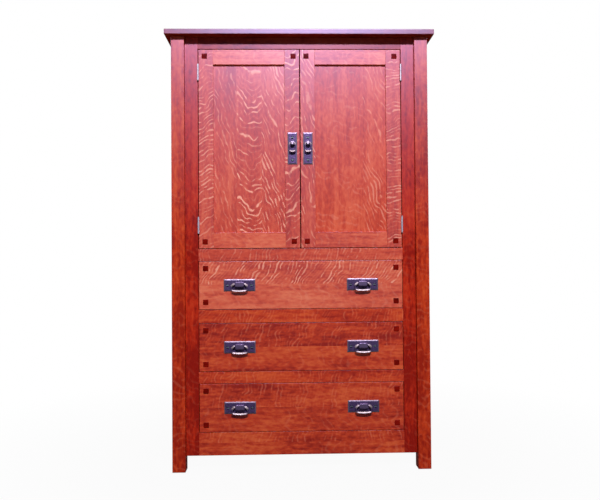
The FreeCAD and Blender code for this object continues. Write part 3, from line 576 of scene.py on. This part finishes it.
dress(nickel, "fixed_hinge_leaves", "left_door_hinge_leaves", "right_door_hinge_leaves", "hinge_pins",
      "shelf_pins")
dress(catch_plastic, "door_catches")
print("metal on the hinges and pins")

# %% [markdown]
# ## Surfaces from formulas
# Small fittings are computed as grids of points. They could be modelled by hand, but a formula can be
# measured and changed. One helper gives a grid its faces, two more close a sheet with a rim and a back or a
# row of rings with flat ends, the next one turns and moves a shell, and the last one puts the finished
# shells into one mesh that rides on a body.

# %% Mesh helpers
MERGE_WITHIN, SHARP_FROM = 1e-6, math.radians(32)  # metres between doubles, and the angle of a sharp edge


def grid_faces(rows, columns, closed):
    """Quads between neighbouring points of a grid; a closed grid joins its last column to its first."""
    row, column = np.meshgrid(np.arange(rows - 1), np.arange(columns - (not closed)), indexing="ij")
    start, after = row * columns, (column + 1) % columns
    below = start + columns
    quads = np.stack([start + column, start + after, below + after, below + column], axis=-1)
    return quads.reshape(-1, 4).tolist()


def backed(sheet, back, rubbed):
    """Closes a sheet of points with a rim that runs to the plane Y = back and one face there."""
    rows, columns = sheet.shape[:2]
    index = np.arange(rows * columns).reshape(rows, columns)
    rim = np.concatenate([index[0, :-1], index[:-1, -1], index[-1, :0:-1], index[:0:-1, 0]])
    points = sheet.reshape(-1, 3)
    behind = points[rim] * (1, 0, 1) + (0, back, 0)
    after = np.arange(len(rim)) + len(points)
    skirt = np.stack([rim, np.roll(rim, -1), np.roll(after, -1), after], axis=-1)
    faces = grid_faces(rows, columns, False) + skirt.tolist() + [after.tolist()]
    return np.concatenate([points, behind]), faces, np.concatenate([rubbed.ravel(), rubbed.ravel()[rim]])


def ringed(rings, rubbed):
    """Closes a row of rings of points with a flat face at each end."""
    count, around = rings.shape[:2]
    ends = np.arange(count * around).reshape(count, around)[[0, -1]]
    return rings.reshape(-1, 3), grid_faces(count, around, True) + ends.tolist(), rubbed


def placed(shell, centre, facing=0.0):
    """A shell that was made round the origin, looking along -Y, turned about Z and moved to its place."""
    c, s = math.cos(facing), math.sin(facing)
    return shell[0] @ np.array([[c, s, 0], [-s, c, 0], [0, 0, 1]]) + centre, *shell[1:]


def add_piece(name, shells, material, body, slot, *replaced):
    """One mesh from shells, each with points in millimetres, faces and rubbed; it rides on a body."""
    starts = np.cumsum([0] + [len(shell[0]) for shell in shells])
    points = np.concatenate([shell[0] for shell in shells]) * MM
    faces = [[start + corner for corner in face] for start, shell in zip(starts, shells) for face in shell[1]]
    rubbed = np.concatenate([np.broadcast_to(shell[2], len(shell[0])) for shell in shells])
    mesh = bpy.data.meshes.new(name)
    mesh.from_pydata(points.tolist(), [], faces)
    mesh.attributes.new("rubbed", "FLOAT", "POINT").data.foreach_set("value", rubbed.astype(np.float32))
    shape = bmesh.new()
    shape.from_mesh(mesh)
    bmesh.ops.remove_doubles(shape, verts=shape.verts, dist=MERGE_WITHIN)
    bmesh.ops.recalc_face_normals(shape, faces=shape.faces)
    shape.to_mesh(mesh)
    shape.free()
    mesh.shade_smooth()
    mesh.set_sharp_from_angle(angle=SHARP_FROM)
    mesh.materials.append(material)
    piece = bpy.data.objects.new(name, mesh)
    bpy.context.scene.collection.objects.link(piece)
    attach(piece, body)
    if replaced:
        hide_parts(*replaced)


print("helpers for grids, sheets and pieces")

# %% [markdown]
# ## The square pegs
# Pegs lock the corner joints. On the real piece each one is a short square stick of dark wood, driven into a
# chiselled hole and left a little proud with its edges eased, so the light catches its upper edge. A bevelled
# cube would come close, but a rounded square that is drawn in along a profile gives the whole pillow.

# %% Pillowed pegs
PEG = 22.0
# A profile goes from the back to the front in steps: millimetres drawn in, and millimetres standing out.
PEG_PROFILE = ((0.0, -6.0), (0.0, 0.6), (0.5, 1.05), (1.6, 1.3), (4.0, 1.45), (7.0, 1.5))


def rounded(around, bend):
    """Cosine and sine over a whole turn with their sizes raised to bend: 1 is round, and less is squarer."""
    turn = np.arange(around) * 2 * np.pi / around
    return [np.sign(wave) * np.abs(wave) ** bend for wave in (np.cos(turn), np.sin(turn))]


def block(half, profile, power=9.0, around=40, rubbed=0.0, lean=0.0):
    """A rounded rectangle drawn in along a profile that stands out towards -Y, with flat ends.

    P(t, j) = ((half_x - in_j) C(t), -out_j, (half_z - in_j) S(t)), where C and S are cos t and sin t with
    their sizes raised to 2 / power: a high power gives square corners and 2 gives an ellipse. With lean, out
    shrinks to out (1 - lean (1 + S(t))), so the front leans back towards its upper edge.
    """
    c, s = rounded(around, 2 / power)
    drawn_in, out = np.array(profile).T[:, :, None]
    leaned = -out * (1 - lean * (1 + s))
    return ringed(np.stack([(half[0] - drawn_in) * c, leaned, (half[1] - drawn_in) * s], axis=-1), rubbed)


# Dark stained end grain: nearly as red as the oak where it is lit, and almost black in its pores.
PEG_STAIN = stain_of("#4A0602", "#6C0A02", "#841206", "#841206", "#300301")
peg_wood = stained_oak("dark peg wood", "top", 400.0, -2000.0, [PLAIN], PEG_STAIN, gloss=0.04)
front_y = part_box("upper_drawer_front")[0][1] / MM
for owner in ("left_door", "right_door", *(f"{drawer}_drawer" for drawer in DRAWERS)):
    low, high = (np.array(corner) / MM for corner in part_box(f"{owner}_pegs"))
    places = [(x, front_y, z) for x in (low[0] + PEG / 2, high[0] - PEG / 2)
              for z in (low[2] + PEG / 2, high[2] - PEG / 2)]
    pegs = [placed(block((PEG / 2, PEG / 2), PEG_PROFILE), place) for place in places]
    add_piece(f"{owner}_pillowed_pegs", pegs, peg_wood, owner, "dark_peg", f"{owner}_pegs")
    print(owner, len(pegs), "pegs")

# %% [markdown]
# ## Hammered plates with screws
# The plate of a pull is a strip of bronze, hammered on its face and filed to a bevel all round, so its upper
# edge is a bright line and its lower edge a dark one. It is a sheet whose height is the smaller of the flat
# and the bevel, less the round dimples of the hammer. The boss that carries the bar is a block whose crowned
# front leans back a little, and blackened dome-head screws with bare slots hold the plate; their near-black
# is partly painted shade.

# %% Pull plates
PLATE_THICK, PLATE_EDGE, BEVEL = 3.0, 0.9, 5.0
DIMPLE, DIMPLE_DEPTH, BLOW_AREA = 5.0, 0.35, 20.0  # radius and depth, and square millimetres for each blow
FILED_BARE = 0.6  # how bare the filed edge is
hammer = np.random.default_rng(7)


def hammered_plate(width, height):
    """A bevelled plate: out(x, z) = edge + m (thick - edge) - m depth max(0, 1 - (r / dimple)^2).

    m is min(1, d / bevel), d the way to the nearest edge and r the way to the nearest hammer blow.
    """
    lines = []
    for side in (width, height):
        flat = np.linspace(BEVEL - side / 2, side / 2 - BEVEL, int(side / 2))
        lines.append(np.concatenate([[-side / 2, (BEVEL - side) / 2], flat, [(side - BEVEL) / 2, side / 2]]))
    x, z = np.meshgrid(*lines, indexing="ij")
    to_edge = np.minimum(width / 2 - np.abs(x), height / 2 - np.abs(z))
    blows = hammer.uniform(-0.5, 0.5, (int(width * height / BLOW_AREA), 2)) * (width, height)
    nearest = ((x[..., None] - blows[:, 0]) ** 2 + (z[..., None] - blows[:, 1]) ** 2).min(axis=-1)
    bevelled = np.minimum(1, to_edge / BEVEL)
    out = PLATE_EDGE + (PLATE_THICK - PLATE_EDGE) * bevelled
    out = out - DIMPLE_DEPTH * np.clip(1 - nearest / DIMPLE ** 2, 0, 1) * bevelled
    filed = FILED_BARE * np.clip(2 - 2 * to_edge / BEVEL, 0, 1)
    return backed(np.stack([x, -out, z], axis=-1), 0.0, filed)


SLOT_HALF, SLOT_FLOOR = 0.25, 0.25  # shares of the head's radius and of its rise


def screw_head(radius, rise, sunk):
    """A slotted dome: P(u, v) = (r u sqrt(1 - v^2), -rise (1 - u^2 (1 - v^2) - v^2)^0.6, r v).

    Lines of equal v are straight chords, and those within the slot are set back. The head is closed at the
    depth sunk, inside the metal that it holds.
    """
    v = np.array([-1, -0.93, -0.75, -0.5, -0.28, -0.23, 0.23, 0.28, 0.5, 0.75, 0.93, 1])
    u, v = np.meshgrid(np.linspace(-1, 1, 13), v, indexing="ij")
    chord = np.sqrt(1 - v ** 2)
    dome = rise * np.clip(1 - (u * chord) ** 2 - v ** 2, 0, 1) ** 0.6
    slot = np.abs(v) < SLOT_HALF
    dome = np.where(slot, np.minimum(dome, SLOT_FLOOR * rise), dome)
    return backed(np.stack([radius * u * chord, -dome, radius * v], axis=-1), sunk, slot.astype(float))


PULL_SCREW, SCREW_SEAT = (6.5, 1.8, 1.0), 0.4  # radius, rise and closed depth, and how far the head is let in
BOSS_PROFILE = ((0.0, -1.0), (0.0, 13.0), (0.4, 14.6), (1.2, 15.5), (2.6, 15.9), (5.0, 16.0))


def pull(centre, size, boss, boss_rise, screws):
    """The plate and boss of one pull, and its two screws at the given offsets from the plate's middle."""
    face = np.array(centre) - (0, PLATE_THICK, 0)
    heads = [placed(screw_head(*PULL_SCREW), face + (0, SCREW_SEAT, 0) + offset) for offset in screws]
    return [placed(hammered_plate(*size), centre), placed(boss, face + (0, 0, boss_rise))], heads


# Each kind of pull has the width and height of its plate, the boss's place above the middle and its screws.
DRAWER_PLATE, DRAWER_BOSS_UP, DRAWER_SCREWS = (131.0, 50.0), 3.5, ((-50.0, 0.0, 0.0), (50.0, 0.0, 0.0))
DOOR_PLATE, DOOR_BOSS_UP, DOOR_SCREWS = (40.0, 134.0), 21.0, ((0.0, 0.0, 46.0), (0.0, 0.0, -48.0))
drawer_boss = block((19.0, 11.0), BOSS_PROFILE, power=6.0, rubbed=0.15, lean=0.02)
for drawer in DRAWERS:
    low, high = (np.array(corner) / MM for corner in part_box(f"{drawer}_drawer_pull_plates"))
    places = [(x, high[1], (low[2] + high[2]) / 2)
              for x in (low[0] + DRAWER_PLATE[0] / 2, high[0] - DRAWER_PLATE[0] / 2)]
    left, right = (pull(place, DRAWER_PLATE, drawer_boss, DRAWER_BOSS_UP, DRAWER_SCREWS) for place in places)
    body = f"{drawer}_drawer"
    add_piece(f"{drawer}_hammered_plates", left[0] + right[0], bronze, body, "dark_bronze",
              f"{drawer}_drawer_pull_plates")
    add_piece(f"{drawer}_pull_screws", left[1] + right[1], blackened_and_shaded_steel, body, "dark_bronze")
door_boss = block((6.4, 8.5), BOSS_PROFILE, power=6.0, rubbed=0.45, lean=0.08)
for side in ("left", "right"):
    low, high = (np.array(corner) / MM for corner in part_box(f"{side}_door_pull_plate"))
    place = ((low[0] + high[0]) / 2, high[1], (low[2] + high[2]) / 2)
    plate, heads = pull(place, DOOR_PLATE, door_boss, DOOR_BOSS_UP, DOOR_SCREWS)
    add_piece(f"{side}_hammered_plate", plate, bronze, f"{side}_door", "dark_bronze",
              f"{side}_door_pull_plate")
    add_piece(f"{side}_pull_screws", heads, blackened_and_shaded_steel, f"{side}_door", "dark_bronze")
print("8 pulls with 16 screws")

# %% [markdown]
# ## Swinging bars
# Each drawer pull has a bail and each door a narrow ring, forged from bar. Their pins sit in the boss, and
# they hang by their own weight. The smith flattens the bar at the shoulders and the grip and leaves the face
# there turned up a little, where fingers rub it bright. A path with cut corners stands for the bent bar, and
# a rounded oblong of changing width is carried along it; a bevelled curve would do too, but its section could
# not turn.

# %% Bails and rings
FACE_TURN, CUTS = math.radians(30), 3
SECTION_BEND = 0.6  # between a round bar and a square one
RUBBED_FROM, RUBBED_OVER = 2.6, 1.6  # half widths: patina up to the first, and bare when the second is added


def bent_path(half):
    """Mirrors half an outline of (x, z, half width) and cuts its corners a few times, by quarters."""
    half = np.array(half, float)
    path = np.concatenate([half * (-1, 1, 1), half[::-1]])
    for _ in range(CUTS):
        cut = np.stack([0.75 * path[:-1] + 0.25 * path[1:], 0.25 * path[:-1] + 0.75 * path[1:]], axis=1)
        path = np.concatenate([path[:1], cut.reshape(-1, 3), path[-1:]])
    return path


def forged_bar(centre, path, thick, around=16):
    """A flattened bar along a path of (x, z, half width) in the plane of X and Z, bare where it is wide.

    P(s, a) = centre + path(s) + width(s) C(a) W(s) + thick S(a) F(s). F, the way the flat face looks, is -Y
    turned up as far as the path's direction T allows, W = T x F, and C and S are the rounded oblong's cosine
    and sine.
    """
    spine = np.stack([path[:, 0], 0 * path[:, 0], path[:, 1]], axis=-1)
    ahead = np.gradient(spine, axis=0)
    ahead /= np.linalg.norm(ahead, axis=1, keepdims=True)
    face = np.array([0, -1, math.tan(FACE_TURN)]) - math.tan(FACE_TURN) * ahead[:, 2:] * ahead
    face /= np.linalg.norm(face, axis=1, keepdims=True)
    across = np.cross(ahead, face)
    c, s = rounded(around, SECTION_BEND)
    width = path[:, 2:, None]
    rings = spine[:, None] + width * c[:, None] * across[:, None]
    rings = rings + thick * s[:, None] * face[:, None] + centre
    rubbed = np.clip((path[:, 2] - RUBBED_FROM) / RUBBED_OVER, 0, 1)
    return ringed(rings, np.repeat(rubbed, around))


# Half outlines from the pin down to the grip, and half the thickness of each bar.
BAIL_THICK, RING_THICK = 3.0, 2.6
BAIL = ((12.0, 0.0, 2.7), (20.0, 0.0, 2.9), (23.5, -0.5, 5.0), (31.0, -7.0, 5.2), (32.0, -13.0, 2.4),
        (31.6, -20.0, 2.4), (31.4, -24.5, 3.2), (28.0, -28.4, 4.0), (9.0, -30.2, 4.8))
RING = ((2.0, 0.0, 2.6), (6.6, 0.0, 2.8), (9.6, -1.5, 3.9), (11.6, -7.0, 4.0), (11.8, -13.0, 2.4),
        (10.8, -29.0, 2.4), (10.2, -34.5, 3.6), (8.4, -36.6, 4.2), (2.0, -37.0, 4.8))


def hang_bar(node, body, outline, thick):
    """Replaces one bar of CAD by a forged one with the same pivot, which is the bar's highest line."""
    low, high = (np.array(corner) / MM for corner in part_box(node))
    pivot = ((low[0] + high[0]) / 2, (low[1] + high[1]) / 2, high[2] - (high[1] - low[1]) / 2)
    bar = forged_bar(pivot, bent_path(outline), thick)
    add_piece(f"{node}_forged", [bar], bronze, body, "dark_bronze", node)


for drawer in DRAWERS:
    for side in ("left", "right"):
        hang_bar(f"{drawer}_drawer_{side}_bail", f"{drawer}_{side}_bail", BAIL, BAIL_THICK)
for side in ("left", "right"):
    hang_bar(f"{side}_door_ring", f"{side}_ring", RING, RING_THICK)
print("6 bails and 2 rings")

# %% [markdown]
# ## Hinge screws and strikes
# With a door open, three flat screws show in every hinge leaf, and at the top of the door's back a small
# steel strike meets the catch. Both lie in gaps of less than a millimetre, so they stand out only a fraction
# of that. They are the same screw head and the same block as before, turned to look sideways or backwards.

# %% Screws and strikes
LEAF_THICK, LEAF_LONG, FACE_STILE = 1.2, 64.0, 54.0
LEAF_SCREW = (3.0, 0.2, 0.6)  # radius, rise and closed depth
LEAF_SCREWS = ((-266.0, -22.0), (-262.0, 0.0), (-266.0, 22.0))  # Y in the cabinet, Z from the leaf's middle
STRIKE_IN, STRIKE_DOWN = 23.0, 7.0  # from the catch's outer side and from the top of the door
STRIKE_HALF, STRIKE_PROFILE = (17.0, 6.0), ((0.0, -0.5), (0.0, 0.5), (0.4, 0.6), (1.5, 0.6))
leaf_screw = screw_head(*LEAF_SCREW)
low, high = (np.array(corner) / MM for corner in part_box("fixed_hinge_leaves"))
middles = (low[2] + LEAF_LONG / 2, high[2] - LEAF_LONG / 2)
rows = [(y, middle + up) for middle in middles for y, up in LEAF_SCREWS]
opening = (np.array(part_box("face_stiles")) / MM)[:, 0].max() - FACE_STILE
fixed_screws = []
for side, sign in (("left", -1.0), ("right", 1.0)):
    low, high = (np.array(corner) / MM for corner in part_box(f"{side}_door_stiles"))
    door_edge = sign * max(abs(low[0]), abs(high[0]))
    outward = sign * math.radians(90)
    shells = [placed(leaf_screw, (door_edge + sign * LEAF_THICK, y, z), outward) for y, z in rows]
    add_piece(f"{side}_door_hinge_screws", shells, nickel, f"{side}_door", "bright_steel")
    fixed_screws += [placed(leaf_screw, (sign * (opening - LEAF_THICK), y, z), -outward) for y, z in rows]
    catch = np.abs(np.array(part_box("door_catches")) / MM).max(axis=0)
    place = (sign * (catch[0] - STRIKE_IN), high[1], high[2] - STRIKE_DOWN)
    strike = placed(block(STRIKE_HALF, STRIKE_PROFILE), place, math.radians(180))
    add_piece(f"{side}_door_strike", [strike], nickel, f"{side}_door", "bright_steel")
add_piece("fixed_hinge_screws", fixed_screws, nickel, "carcass", "bright_steel")
print(len(fixed_screws) * 2, "hinge screws and 2 strikes, opening at", opening)
